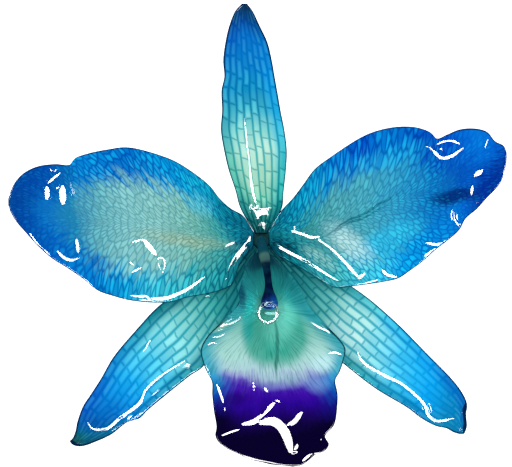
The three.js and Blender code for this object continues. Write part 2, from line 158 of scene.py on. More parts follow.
RIGHT_PETAL = dict(
    rows=[
        ((2.0, 0.2, 6.4), (2.0, -2.0, 6.4), 6.4), ((3.6, 3.4, 6.9), (3.4, -3.7, 6.5), 6.7),
        ((4.8, 4.8, 7.3), (5.7, -5.0, 6.4), 6.9), ((6.4, 6.5, 7.6), (8.6, -6.6, 6.4), 7.1),
        ((8.2, 8.9, 7.5), (11.5, -8.4, 6.5), 7.3), ((10.3, 11.7, 7.2), (14.2, -9.7, 6.6), 7.5),
        ((13.2, 13.9, 7.0), (17.0, -9.4, 6.4), 7.7), ((18.8, 17.5, 7.7), (22.8, -8.6, 6.2), 8.0),
        ((21.9, 18.7, 8.1), (25.3, -8.0, 6.8), 8.0), ((25.3, 19.3, 8.2), (27.6, -6.5, 7.2), 7.9),
        ((28.5, 19.2, 7.6), (30.0, -4.7, 6.9), 7.7), ((30.9, 18.4, 7.0), (32.1, -2.8, 6.6), 7.4),
        ((32.3, 17.2, 6.4), (34.3, -1.1, 6.4), 7.1), ((34.1, 17.9, 6.6), (36.3, 0.7, 6.5), 6.8),
        ((36.3, 18.8, 7.1), (37.5, 2.8, 6.6), 6.5), ((39.0, 19.0, 7.1), (39.5, 4.5, 6.3), 6.2),
        ((41.3, 18.4, 6.7), (41.3, 6.5, 5.9), 5.95), ((42.8, 16.7, 6.3), (42.8, 8.0, 5.65), 5.75),
        ((44.3, 15.9, 5.95), (43.9, 9.5, 5.5), 5.6), ((44.9, 14.6, 5.7), (44.8, 12.5, 5.5), 5.55),
    ],
    creases=[
        ([(2.0, -2.0), (3.2, -2.9), (5.0, -4.1), (8.6, -5.9), (12.2, -8.4), (14.1, -9.4)], 0.3, 1.3),
        ([(6.6, 0.4), (10.9, -1.1), (14.9, -4.3), (18.5, -8.3)], 0.25, 1.3),
    ],
    resin_lines=[
        ([(269, 237), (272, 242), (279, 247), (289, 252.5), (308, 262.5), (327, 274.5), (338, 281)], 0.5),
        ([(428, 147), (436, 155), (443, 158.5), (452, 156), (462.5, 148)], 0.7),
        ([(436, 145), (445, 141.5), (453, 141), (460, 144)], 0.5), ([(440, 149), (442, 149.5)], 0.5),
        ([(484.5, 148), (487.5, 138.5)], 0.4), ([(474.5, 175), (481.5, 171)], 0.9),
        ([(471, 194.5), (472, 186)], 0.6), ([(477, 203)], 0.25),
        ([(453, 211), (455, 221), (459, 226)], 0.45), ([(426, 242.5), (436, 244.5), (446, 242)], 0.55),
        ([(424, 256), (434, 249)], 0.45), ([(382, 269), (387, 274), (397, 277)], 0.55),
        ([(366, 283), (378, 279)], 0.35), ([(292.5, 231), (303, 235), (312, 238), (320, 237)], 0.75),
        ([(294, 225), (295, 230)], 0.4), ([(319, 240), (333, 251), (346, 264), (359, 278)], 0.7),
        ([(357.5, 278.5), (365, 273)], 0.5),
    ],
    body=PETAL_BODY, grid=PETAL_GRID,
)

LEFT_SEPAL = dict(
    rows=[
        ((0.5, -2.8, 4.8), (-0.9, -1.5, 4.8), 4.8), ((-0.3, -5.0, 4.8), (-3.5, -2.6, 4.7), 4.9),
        ((-3.5, -13.0, 4.7), (-9.4, -6.4, 4.3), 4.9), ((-5.5, -16.9, 4.4), (-12.5, -8.8, 4.2), 4.7),
        ((-9.7, -23.8, 3.4), (-18.4, -13.5, 4.3), 4.0), ((-12.2, -25.6, 2.8), (-21.1, -16.4, 4.1), 3.5),
        ((-17.4, -29.8, 1.8), (-26.0, -22.2, 2.7), 2.3), ((-19.9, -31.9, 1.3), (-28.2, -26.0, 2.1), 1.7),
        ((-21.3, -33.3, 1.0), (-30.0, -28.8, 1.5), 1.15), ((-23.5, -34.0, 0.8), (-31.5, -31.1, 1.05), 0.65),
        ((-26.4, -36.2, 0.6), (-32.5, -33.8, 0.8), 0.3), ((-29.2, -37.5, 0.7), (-32.9, -35.7, 0.7), 0.4),
        ((-31.6, -38.3, 1.0), (-33.4, -36.9, 1.0), 0.9), ((-33.0, -38.1, 1.4), (-33.9, -37.3, 1.4), 1.4),
    ],
    creases=[([(-26.4, -34.6), (-23.3, -32.0), (-19.9, -28.4), (-15.8, -25.0), (-13.1, -22.7)], 0.25, 1.3)],
    resin_lines=[
        ([(87, 423), (92, 429), (107, 429), (120, 418), (140, 402), (146, 390), (164, 374), (184, 361)],
         0.5),
        ([(112, 431), (128, 422), (142, 413)], 0.3), ([(155, 402), (168, 391)], 0.25),
        ([(143, 352), (152, 337)], 0.35), ([(205, 296), (211, 296)], 0.3),
    ],
    body=SEPAL_BODY, grid=SEPAL_GRID,
)

RIGHT_SEPAL = dict(
    rows=[
        ((2.3, -1.4, 4.8), (1.0, -2.8, 4.8), 4.8), ((5.3, -2.6, 4.7), (2.2, -5.0, 4.8), 4.9),
        ((11.6, -5.8, 4.4), (6.6, -13.0, 4.7), 4.9), ((14.5, -7.7, 4.3), (9.3, -16.9, 4.4), 4.7),
        ((17.4, -9.7, 4.2), (12.3, -20.7, 3.9), 4.4), ((20.4, -11.9, 4.2), (15.5, -23.4, 3.3), 4.0),
        ((25.6, -16.5, 3.5), (21.3, -27.9, 2.3), 3.0), ((30.7, -21.7, 2.3), (27.1, -31.4, 1.4), 1.8),
        ((33.0, -24.0, 1.8), (29.6, -33.3, 1.0), 1.2), ((35.2, -26.3, 1.3), (32.3, -34.7, 0.7), 0.65),
        ((36.8, -28.4, 0.9), (34.1, -35.1, 0.6), 0.3), ((37.7, -30.3, 0.8), (35.4, -35.8, 0.7), 0.35),
        ((37.4, -31.7, 0.9), (36.4, -36.1, 0.9), 0.6), ((37.6, -34.4, 1.3), (37.3, -36.1, 1.2), 1.2),
    ],
    creases=[
        ([(17.6, -20.9), (18.5, -22.9), (23.0, -25.6), (27.8, -29.0), (31.1, -33.1), (35.6, -33.5)],
         0.25, 1.3),
    ],
    resin_lines=[
        ([(357, 351), (362, 361), (380, 373), (404, 386), (424, 405), (428, 415), (436, 421), (455, 419)],
         0.55),
        ([(462, 431)], 0.5),
    ],
    body=SEPAL_BODY, grid=SEPAL_GRID,
)

LIP = dict(
    rows=[
        ((1.9, -3.4, 6.3), (-0.5, -3.4, 6.3), 6.2), ((4.0, -5.2, 8.0), (-1.8, -5.2, 8.2), 7.0),
        ((6.6, -8.1, 10.2), (-2.8, -8.3, 10.8), 7.8), ((8.0, -10.8, 11.2), (-3.2, -10.6, 11.7), 8.3),
        ((9.4, -13.3, 11.3), (-3.3, -12.6, 11.7), 8.6), ((11.1, -15.3, 10.9), (-4.6, -14.2, 11.2), 8.9),
        ((13.2, -17.3, 10.3), (-6.9, -16.2, 10.4), 9.2), ((15.0, -19.2, 9.8), (-9.1, -18.5, 9.9), 9.4),
        ((15.8, -20.7, 9.6), (-10.2, -20.8, 9.7), 9.5), ((15.4, -22.9, 9.2), (-9.8, -23.0, 9.3), 9.4),
        ((14.8, -24.7, 9.0), (-9.1, -24.8, 8.8), 9.2), ((14.0, -26.3, 8.7), (-8.2, -26.6, 8.5), 9.0),
        ((14.4, -28.7, 8.4), (-8.15, -28.9, 8.2), 8.75), ((14.35, -31.1, 8.0), (-7.85, -31.8, 7.7), 8.4),
        ((13.8, -34.3, 7.4), (-7.4, -34.7, 7.3), 7.8), ((12.2, -36.4, 7.1), (-7.6, -36.2, 7.0), 7.4),
        ((12.85, -37.8, 6.9), (-7.1, -37.3, 6.8), 7.15), ((12.3, -38.85, 6.75), (-5.7, -38.45, 6.7), 6.95),
        ((10.4, -39.75, 6.6), (-3.55, -39.5, 6.6), 6.75), ((9.0, -40.9, 6.45), (-1.4, -40.5, 6.45), 6.55),
        ((7.9, -41.6, 6.35), (1.0, -41.0, 6.4), 6.4), ((6.3, -41.9, 6.3), (3.0, -41.3, 6.3), 6.3),
    ],
    creases=[
        ([(-1.4, -15.5), (-1.7, -19.1), (-0.8, -21.8), (1.4, -23.4), (3.5, -23.6), (5.9, -22.1),
          (7.3, -20.0), (7.7, -16.4)], 0.25, 1.6),
        ([(3.2, -16.4), (3.2, -29.0)], 0.2, 1.4),
    ],
    resin_lines=[
        ([(243, 423.5), (254, 421), (262, 415), (268, 408), (274, 402)], 1.0),
        ([(262, 421), (273, 420.5), (282, 427), (287, 436), (290.5, 450)], 1.75),
        ([(288, 424), (294, 421), (301, 412)], 0.9), ([(254, 386)], 0.8), ([(264.5, 387), (268, 391)], 0.6),
        ([(275, 399), (280, 401)], 0.4), ([(321, 439)], 0.5), ([(217, 384), (221, 394), (223.5, 402)], 0.5),
        ([(225, 407), (225, 410)], 0.3), ([(222, 435), (232, 431), (240, 428.5)], 0.35),
        ([(303, 460), (310, 454)], 0.4), ([(207, 345), (212, 342.5), (218, 343)], 0.4),
        ([(211, 337), (219, 336), (225, 333)], 0.35), ([(216, 330), (223, 328)], 0.3),
        ([(225, 320), (235, 315)], 0.5), ([(328, 353), (335, 352), (341, 354)], 0.5),
        ([(345, 345), (345, 349)], 0.3), ([(286, 303), (286, 312)], 0.25),
    ],
    body=LIP_BODY, grid=LIP_GRID,
)

# The column, from the cut end of the ovary to its tip: middle of a round section and its radius
COLUMN_ROWS = [
    (0.7, -1.2, 0.6, 1.5),
    (0.7, -1.2, 1.6, 1.7),
    (0.7, -1.2, 3.2, 2.1),
    (0.7, -1.2, 3.8, 1.7),
    (0.7, -1.2, 4.1, 0.85),
    (0.7, -1.2, 5.6, 0.8),
    (0.8, -1.8, 7.4, 0.85),
    (1.2, -3.8, 9.2, 0.95),
    (1.65, -6.2, 9.9, 0.68),
    (1.95, -8.6, 10.3, 0.62),
    (2.05, -10.2, 10.6, 0.85),
    (2.1, -11.4, 10.9, 1.3),
    (2.15, -12.4, 11.1, 1.55),
    (2.2, -13.1, 11.2, 1.4),
    (2.2, -13.5, 11.2, 0.9),
]
ANTHER_MIDDLE = (2.2, -14.15, 11.2)
ANTHER_RADII = (0.95, 0.35, 0.9)
DROP_MIDDLE = (1.9, -14.1, 13.45)
DROP_LENGTH = 1.05  # its length for each unit of its width

# Half the outline of the drop: distance from its upright middle line, and height
DROP_OUTLINE = [
    (0.1, -0.5), (0.9, -0.48), (1.35, -0.42), (1.7, -0.3), (1.9, -0.12), (1.95, 0.03), (1.9, 0.16),
    (1.8, 0.24), (1.62, 0.325), (1.45, 0.4), (1.2, 0.465), (0.8, 0.495), (0.1, 0.5),
]


# Curves and distances

def on_bloom(points):
    """Pixels of the photograph as millimetres in plan, from the pixel over the origin."""
    pixels = np.asarray(points, float)
    return (pixels - BLOOM_PIXEL) * (MM_PER_PIXEL, -MM_PER_PIXEL)


def spline(points, share):
    """A smooth curve through points, at shares of its spans from 0 to 1.

    Between two points it is the cubic whose slopes there come from the points on either side, with
    the square root of each span's length as its time. The ends are carried on in a straight line.
    """
    points = np.asarray(points, float)
    spans = len(points) - 1
    place = np.clip(share, 0, 1) * spans
    span = np.minimum(place.astype(int), spans - 1)
    t = (place - span)[:, None]
    ends = [2 * points[0] - points[1], 2 * points[-1] - points[-2]]
    known = np.vstack([ends[0], points, ends[1]])
    before, start, end, after = (known[span + k] for k in range(4))

    def root_length(a, b):
        return np.sqrt(np.linalg.norm(b - a, axis=1))[:, None]

    time_in, time, time_out = root_length(before, start), root_length(start, end), root_length(end, after)
    slope_in = (start - before) / time_in - (end - before) / (time_in + time) + (end - start) / time
    slope_out = (end - start) / time - (after - start) / (time + time_out) + (after - end) / time_out
    slope_in, slope_out = slope_in * time, slope_out * time
    square = -3 * start + 3 * end - 2 * slope_in - slope_out
    cube = 2 * start - 2 * end + slope_in + slope_out
    return start + slope_in * t + square * t**2 + cube * t**3


def distance_to_line(x, y, line):
    """Distance in plan from each place to the nearest point of a line of straight stretches."""
    line = np.asarray(line, float).reshape(-1, 2)
    nearest = np.hypot(x - line[0, 0], y - line[0, 1])
    for (x0, y0), (x1, y1) in zip(line[:-1], line[1:]):
        dx, dy = x1 - x0, y1 - y0
        t = np.clip(((x - x0) * dx + (y - y0) * dy) / (dx * dx + dy * dy), 0, 1)
        nearest = np.minimum(nearest, np.hypot(x - x0 - t * dx, y - y0 - t * dy))
    return nearest


def spaced(length, count):
    """Distances from 0 to each length, in count steps: close ones by both ends, even ones between."""
    length = np.asarray(length, float)[..., None]
    edge = EDGE_STEPS * np.minimum(1.0, length / (4 * EDGE_STEPS[-1]))
    inner = np.linspace(0, 1, count - 2 * len(EDGE_STEPS) + 3)[1:-1]
    between = edge[..., -1:] + (length - 2 * edge[..., -1:]) * inner
    return np.concatenate([edge, between, (length - edge)[..., ::-1]], axis=-1)


def ripple(x, y, random):
    """Uneven resin: low plane waves of seeded lengths and directions, added up."""
    height = np.zeros_like(x)
    for _ in range(RIPPLE_WAVES):
        length = random.uniform(*RIPPLE_LENGTHS)
        turn = random.uniform(0, 2 * math.pi)
        phase = random.uniform(0, 2 * math.pi)
        height += np.sin((x * math.cos(turn) + y * math.sin(turn)) * 2 * math.pi / length + phase)
    return height * RIPPLE_HEIGHT


def nearest_stretch(x, y, line):
    """The nearest stretch of a line for each place: how far off it is, the offset to the side that
    faces the softboxes, the direction of that side, and the share of the line that lies before it."""
    ahead = np.diff(line, axis=0)
    sides = np.stack([ahead[:, 1], -ahead[:, 0]], axis=1)
    if sides[:, 1].sum() > 0:
        sides = -sides
    sides /= np.hypot(ahead[:, 0], ahead[:, 1])[:, None]
    nearest = np.full_like(x, np.inf)
    offset, side_x, side_y, share = np.zeros((4,) + x.shape)
    for number, (start, step, side) in enumerate(zip(line[:-1], ahead, sides)):
        out_x, out_y = x - start[0], y - start[1]
        t = np.clip((out_x * step[0] + out_y * step[1]) / (step @ step), 0, 1)
        away = np.hypot(out_x - t * step[0], out_y - t * step[1])
        closer = away < nearest
        nearest = np.where(closer, away, nearest)
        offset = np.where(closer, out_x * side[0] + out_y * side[1], offset)
        side_x = np.where(closer, side[0], side_x)
        side_y = np.where(closer, side[1], side_y)
        share = np.where(closer, (number + t) / len(ahead), share)
    return nearest, offset, side_x, side_y, share


def mirror_slope(x, y, side_x, side_y):
    """The slope of a mirror that sends the light of the ring's point on one side to the camera: it
    stands square to the line halfway between the two directions."""
    light = np.stack([RING_OUT * side_x - x, RING_OUT * side_y - y, np.full_like(x, RING_HIGH)])
    view = np.stack([-x, -y, np.full_like(x, CAMERA_HEIGHT)])
    half = light / np.linalg.norm(light, axis=0) + view / np.linalg.norm(view, axis=0)
    return np.hypot(half[0], half[1]) / half[2]


def resin_glint(x, y, slope_x, slope_y, pixels, width):
    """One glint: resin that tilts along a line of the photograph just so far that it mirrors the
    softboxes. Its height is the slope that is missing there times the offset from the line, as far
    as half the width of the light, which tapers to both ends. Beyond that it goes back to nothing by
    a bell curve, on a slope too gentle to shine. Its own slope is added to the slopes given, so that
    the next glint counts it.
    """
    line = on_bloom(pixels)
    if len(line) == 1:
        line = line + [(-DOT_REACH, 0.0), (DOT_REACH, 0.0)]
    line = spline(line, np.linspace(0, 1, 1 + LINE_STEPS * (len(line) - 1)))
    low, high = line.min(axis=0) - GLINT_REACH * width, line.max(axis=0) + GLINT_REACH * width
    near = (x > low[0]) & (x < high[0]) & (y > low[1]) & (y < high[1])
    height = np.zeros_like(x)
    away, offset, side_x, side_y, share = nearest_stretch(x[near], y[near], line)
    half = width / 2 * (1 - GLINT_TAPER * np.abs(2 * share - 1) ** 4)
    mirror = mirror_slope(x[near], y[near], side_x, side_y)
    own = slope_x[near] * side_x + slope_y[near] * side_y
    sideways = slope_y[near] * side_x - slope_x[near] * side_y
    missing = -np.sqrt(np.maximum(mirror**2 - sideways**2, LEAST_TILT * mirror**2)) - own
    past_end = np.sqrt(np.maximum(away**2 - offset**2, 0))
    missing *= np.exp(-((past_end / (GLINT_END * half)) ** 4))
    outside = np.maximum(np.abs(offset) / half - 1, 0) / GLINT_FLANK
    bell = np.exp(-(outside**2))
    height[near] = missing * np.clip(offset, -half, half) * bell
    tilt = missing * np.where(outside > 0, -2 * outside / GLINT_FLANK * bell, 1.0)
    slope_x[near] += tilt * side_x
    slope_y[near] += tilt * side_y
    return height


# Meshes

def fill_mesh(name, points, faces, places):
    """A smooth mesh piece from points in millimetres, with named values for each point."""
    mesh = bpy.data.meshes.new(name)
    mesh.from_pydata((points * MM).tolist(), [], faces)
    for label, values in places.items():
        attribute = mesh.attributes.new(label, "FLOAT_VECTOR", "POINT")
        attribute.data.foreach_set("vector", np.asarray(values, np.float32).ravel())
    mesh.polygons.foreach_set("use_smooth", np.ones(len(mesh.polygons), bool))
    mesh.update()
    piece = bpy.data.objects.new(name, mesh)
    bpy.context.scene.collection.objects.link(piece)
    return piece


def sheet_faces(rows, columns):
    """Faces of a closed sheet. The upper side has quads between all points. The lower side shares the
    outer points, keeps every third point inside, and its outer faces take in the points between."""
    upper = np.arange(rows * columns).reshape(rows, columns)
    lower = upper[::UNDER_STEP, ::UNDER_STEP].copy()
    lower[1:-1, 1:-1] = rows * columns + np.arange(lower[1:-1, 1:-1].size).reshape(lower[1:-1, 1:-1].shape)

    def quads(k):
        return np.stack([k[:-1, :-1], k[:-1, 1:], k[1:, 1:], k[1:, :-1]], axis=-1)

    below = quads(lower)[..., ::-1]
    faces = quads(upper).reshape(-1, 4).tolist() + below[1:-1, 1:-1].reshape(-1, 4).tolist()
    between = {}
    for edge in (upper[0], upper[-1], upper[:, 0], upper[:, -1]):
        for k in range(0, len(edge) - 1, UNDER_STEP):
            points = edge[k:k + UNDER_STEP + 1].tolist()
            between[points[0], points[-1]] = points[:-1]
            between[points[-1], points[0]] = points[:0:-1]
    border = np.ones(below.shape[:2], bool)
    border[1:-1, 1:-1] = False
    for corners in below[border].tolist():
        sides = zip(corners, corners[1:] + corners[:1])
        faces.append([point for side in sides for point in between.get(side, side[:1])])
    return faces


def coated_blade(name, blade, fan, random):
    """A sepal, a petal or the lip as one closed sheet.

    The middle surface is a parabola across each station, through the left margin, the middle and the
    right margin, and the stations follow smooth curves. Creases add rise times the bell curve of
    the distance to them. Half the thickness goes up and half goes down along the surface's own
    direction, rounded to nothing at the margins. The upper face also has the resin's beads and
    ripples, and the lower face is level where the bloom lies on it.
    """
    rows = blade["rows"]
    left = np.array([row[0] for row in rows])
    right = np.array([row[1] for row in rows])
    middle = (left + right) / 2
    middle[:, 2] = [row[2] for row in rows]
    fine = np.linspace(0, 1, PATH_STEPS)
    steps = np.linalg.norm(np.diff(spline(middle, fine), axis=0), axis=1)
    travelled = np.concatenate([[0], np.cumsum(steps)])
    run = spaced(travelled[-1], blade["grid"][0])
    share = np.interp(run, travelled, fine)
    left, middle, right = (spline(points, share)[:, None, :] for points in (left, middle, right))
    width = np.linalg.norm(right - left, axis=2)[:, 0]
    from_left = spaced(width, blade["grid"][1])
    from_right = width[:, None] - from_left
    across = 2 * from_left / width[:, None] - 1
    s = across[..., None]
    surface = left * s * (s - 1) / 2 + middle * (1 - s**2) + right * s * (s + 1) / 2
    x, y = surface[..., 0], surface[..., 1]
    for line, rise, reach in blade["creases"]:
        surface[..., 2] += rise * np.exp(-((distance_to_line(x, y, line) / reach) ** 2))

    outward = np.gradient(surface, axis=0)
    sideways = np.gradient(surface, axis=1)
    up = np.cross(sideways, outward)
    up /= np.linalg.norm(up, axis=2)[..., None]
    run = np.broadcast_to(run[:, None], across.shape)
    from_end = np.minimum(run, run.max() - run)
    from_rim = np.minimum(np.minimum(from_left, from_right), from_end)
    rounding = np.sqrt(1 - (1 - np.clip(from_rim / RIM_RADIUS, 0, 1)) ** 2)
    half = (BLADE_RIM + (blade["body"] - BLADE_RIM) * (1 - across**2)) / 2 * rounding
    slope_x, slope_y = -up[..., 0] / up[..., 2], -up[..., 1] / up[..., 2]
    resin = ripple(x, y, random)
    for pixels, shine in sorted(blade["resin_lines"], key=lambda bead: -bead[1]):
        resin += resin_glint(x, y, slope_x, slope_y, pixels, shine)
    resin *= np.clip(from_rim / RIM_RADIUS, 0, 1)
    upper = surface + up * half[..., None]
    upper[..., 2] += resin
    lower = surface - up * half[..., None]
    lower[..., 2] = np.maximum(lower[..., 2], 0)
    upper[..., 2] = np.maximum(upper[..., 2], 0)

    along = run / run.max()
    place = np.stack([along, from_left, from_right], axis=-1)
    lane = fan(across, along)
    veins = np.stack([run, lane, from_rim], axis=-1)

    def both_faces(values, under=None):
        under = values if under is None else under
        inside = under[::UNDER_STEP, ::UNDER_STEP][1:-1, 1:-1]
        return np.vstack([values.reshape(-1, 3), inside.reshape(-1, 3)])

    return fill_mesh(
        name,
        both_faces(upper, lower),
        sheet_faces(*across.shape),
        {"place": both_faces(place), "veins": both_faces(veins)},
    )


def round_body(name, middles, radii, sides):
    """A round body along a path: a circle of its own radius about each middle, square to the path and
    counted from the side that faces X."""
    forward = np.gradient(middles, axis=0)
    forward /= np.linalg.norm(forward, axis=1)[:, None]
    front = np.cross(forward, (1.0, 0.0, 0.0))
    front /= np.linalg.norm(front, axis=1)[:, None]
    side = np.cross(front, forward)
    turn = np.linspace(0, 2 * math.pi, sides, endpoint=False)
    ring = side[:, None, :] * np.cos(turn)[None, :, None] + front[:, None, :] * np.sin(turn)[None, :, None]
    points = middles[:, None, :] + ring * radii[:, None, None]
    along = np.broadcast_to(np.linspace(0, 1, len(middles))[:, None], points.shape[:2])
    place = np.stack(np.broadcast_arrays(along, np.cos(turn), np.sin(turn)), axis=-1)
    return closed_tube(name, points, place)


def closed_tube(name, points, place):
    """Rings of points joined to a tube, with a fan of triangles over each end."""
    rings, sides = points.shape[:2]
    k = np.arange(rings * sides).reshape(rings, sides)
    following = np.roll(k, -1, axis=1)
    walls = np.stack([k[:-1], following[:-1], following[1:], k[1:]], axis=-1).reshape(-1, 4)
    start, end = rings * sides, rings * sides + 1
    first = np.stack([np.full(sides, start), following[0], k[0]], axis=-1)
    last = np.stack([np.full(sides, end), k[-1], following[-1]], axis=-1)
    middles = [points[0].mean(axis=0), points[-1].mean(axis=0)]
    ends = [place[0].mean(axis=0), place[-1].mean(axis=0)]
    return fill_mesh(
        name,
        np.vstack([points.reshape(-1, 3), middles]),
        walls.tolist() + first.tolist() + last.tolist(),
        {"place": np.vstack([place.reshape(-1, 3), ends])},
    )


def turned_body(name, middle, outline, stretch, sides):
    """A body turned about an upright line: circles through a smooth outline, from the middle of its
    underside to the middle of its top, then stretched along X, Y and Z."""
    outline = spline(outline, np.linspace(0, 1, OUTLINE_STEPS * len(outline)))
    turn = np.linspace(0, 2 * math.pi, sides, endpoint=False)
    radius, height = outline[:, 0, None], outline[:, 1, None]
    shape = np.stack([radius * np.cos(turn), radius * np.sin(turn), height + 0 * turn], axis=-1)
    return closed_tube(name, np.asarray(middle) + shape * stretch, shape)


# Materials

def linear(code):
    """An sRGB hex colour as linear red, green and blue, with full opacity."""
    values = [int(code[k:k + 2], 16) / 255 for k in (1, 3, 5)]
    return [v / 12.92 if v <= 0.04045 else ((v + 0.055) / 1.055) ** 2.4 for v in values] + [1.0]


def add_node(tree, kind, inputs=(), stops=(), **settings):
    """Adds one node, with its settings and links, and gives it back.

    Inputs go to the sockets in use, by their order in a list or by their names in a dict. A socket
    is linked, a node is linked by its first output in use, and a number or a hex colour is set on
    the input itself. Stops are the colours of a ramp by their places in percent.
    """
    node = tree.nodes.new("ShaderNode" + kind)
    for name, value in settings.items():
        setattr(node, name, value)
    in_use = [socket for socket in node.inputs if socket.enabled]
    names = [socket.name for socket in in_use]
    given = inputs.items() if isinstance(inputs, dict) else enumerate(inputs)
    for key, value in given:
        socket = in_use[names.index(key) if isinstance(key, str) else key]
        if isinstance(value, bpy.types.Node):
            value = next(output for output in value.outputs if output.enabled)
        if isinstance(value, bpy.types.NodeSocket):
            tree.links.new(value, socket)
        else:
            socket.default_value = linear(value) if isinstance(value, str) else value
    for number, (place, colour) in enumerate(dict(stops).items()):
        elements = node.color_ramp.elements
        element = elements[number] if number < 2 else elements.new(place / 100)
        element.position = place / 100
        element.color = linear(colour)
    return node


SMOOTH = {"interpolation_type": "SMOOTHSTEP"}  # a Map Range that eases in and out
BLEND = {"data_type": "RGBA"}  # a Mix of two colours
TIMES = {"operation": "MULTIPLY"}  # a Math of two numbers
TIMES_PLUS = {"operation": "MULTIPLY_ADD"}  # the first times the second, plus the third


def new_material(name):
    """A material, the function that adds nodes to it, and the places on its object."""
    material = bpy.data.materials.new(name)
    material.use_nodes = True
    material.node_tree.nodes.clear()
    add = functools.partial(add_node, material.node_tree)
    return material, add, add("TexCoord").outputs["Object"]


def under_resin(add, colour, relief, coat):
    """Dyed tissue under a poured coat of clear epoxy: the tissue is matt and slightly uneven, and
    the coat is smooth, hard and glassy, so it gives sharp white lights over deep colours."""
    bump = add("Bump", {"Strength": 0.5, "Distance": RELIEF * MM, "Height": relief})
    shader = add("BsdfPrincipled", {
        "Base Color": colour,
        "Roughness": 0.6,
        "Specular IOR Level": 0.0,
        "Coat Weight": coat,
        "Coat Roughness": 0.03,
        "Coat IOR": 1.6,
        "Normal": bump,
    })
    add("OutputMaterial", {"Surface": shader})


def sepal_veins(add, run, lane):
    """Long veins that run from the base to the tip, with cross veins between them, 3 mm apart and at
    places of their own in each lane. Gives the share of vein, the share of cell middle and a tone of
    its own for each cell."""
    slow_run = add("Math", [run, 0.5], **TIMES)
    place = add("CombineXYZ", [slow_run, lane])
    wander = add("TexNoise", {"Vector": place, "Scale": 0.3, "Detail": 2.0}).outputs["Color"]
    shift = add("SeparateXYZ", [wander])
    straight = add("Math", [lane, 0.2], operation="SUBTRACT")
    new_lane = add("Math", [shift.outputs[1], 0.4, straight], **TIMES_PLUS)
    to_vein = add("Math", [new_lane, 0.5], operation="PINGPONG")
    long_vein = add("MapRange", [to_vein, 0.0, 0.32, 1.0, 0.0], **SMOOTH)
    lane_number = add("Math", [new_lane], operation="FLOOR")
    start = add("TexWhiteNoise", {"W": lane_number}, noise_dimensions="1D").outputs["Value"]
    wandered = add("Math", [shift.outputs[0], 2.5, run], **TIMES_PLUS)
    staggered = add("Math", [start, 12.0, wandered], **TIMES_PLUS)
    slanted = add("Math", [new_lane, 0.4, staggered], **TIMES_PLUS)
    to_bar = add("Math", [slanted, 1.5], operation="PINGPONG")
    bar = add("MapRange", [to_bar, 0.0, 0.34, 0.85, 0.0], **SMOOTH)
    vein = add("Math", [long_vein, bar], operation="MAXIMUM")
    beside_vein = add("MapRange", [to_vein, 0.12, 0.4, 0.0, 1.0], **SMOOTH)
    beside_bar = add("MapRange", [to_bar, 0.1, 0.6, 0.0, 1.0], **SMOOTH)
    cell = add("Math", [beside_vein, beside_bar], **TIMES)
    rank = add("Math", [slanted, 3.0], operation="DIVIDE")
    rank_number = add("Math", [rank], operation="FLOOR")
    cell_number = add("CombineXYZ", [lane_number, rank_number])
    tone = add("TexWhiteNoise", [cell_number], noise_dimensions="2D").outputs["Value"]
    return vein, cell, tone


def petal_veins(add, run, lane):
    """A net of veins that fans out from the base: cells 1 to 2 mm long and about half as wide, each
    with a tone of its own."""
    slow_run = add("Math", [run, 0.65], **TIMES)
    place = add("CombineXYZ", [slow_run, lane])
    net = {"Vector": place, "Scale": 1.25, "Randomness": 0.8}
    edge = add("TexVoronoi", net, voronoi_dimensions="2D", feature="DISTANCE_TO_EDGE")
    vein = add("MapRange", [edge, 0.0, 0.24, 1.0, 0.0], **SMOOTH)
    cell = add("MapRange", [edge, 0.06, 0.34, 0.0, 1.0], **SMOOTH)
    hue = add("TexVoronoi", net, voronoi_dimensions="2D", feature="F1").outputs["Color"]
    return vein, cell, add("SeparateXYZ", [hue]).outputs[0]


def lip_veins(add, run, lane):
    """Fine lines that fan out over the lip, with paler tissue between them."""
    slow_run = add("Math", [run, 0.2], **TIMES)
    place = add("CombineXYZ", [slow_run, lane])
    streak = add("TexNoise", {"Vector": place, "Scale": 2.0, "Detail": 3.0})
    vein = add("MapRange", [streak, 0.5, 0.66, 0.0, 1.0], **SMOOTH)
    cell = add("MapRange", [streak, 0.5, 0.32, 0.0, 1.0], **SMOOTH)
    return vein, cell, 1.0


def patch_share(add, place, pixel, radii, turn, strength, softness):
    """An oval patch about a pixel of the photograph: its strength in the middle, and nothing past its
    radii, which are in pixels."""
    x, y = on_bloom(pixel) * MM
    local = add("Mapping", {
        "Vector": place,
        "Location": (x, y, 0.0),
        "Rotation": (0.0, 0.0, math.radians(turn)),
        "Scale": (radii[0] * MM_PER_PIXEL * MM, radii[1] * MM_PER_PIXEL * MM, 1.0),
    }, vector_type="TEXTURE")
    near = add("TexGradient", [local], gradient_type="SPHERICAL").outputs["Fac"]
    return add("MapRange", [near, 0.0, softness, 0.0, strength], **SMOOTH)


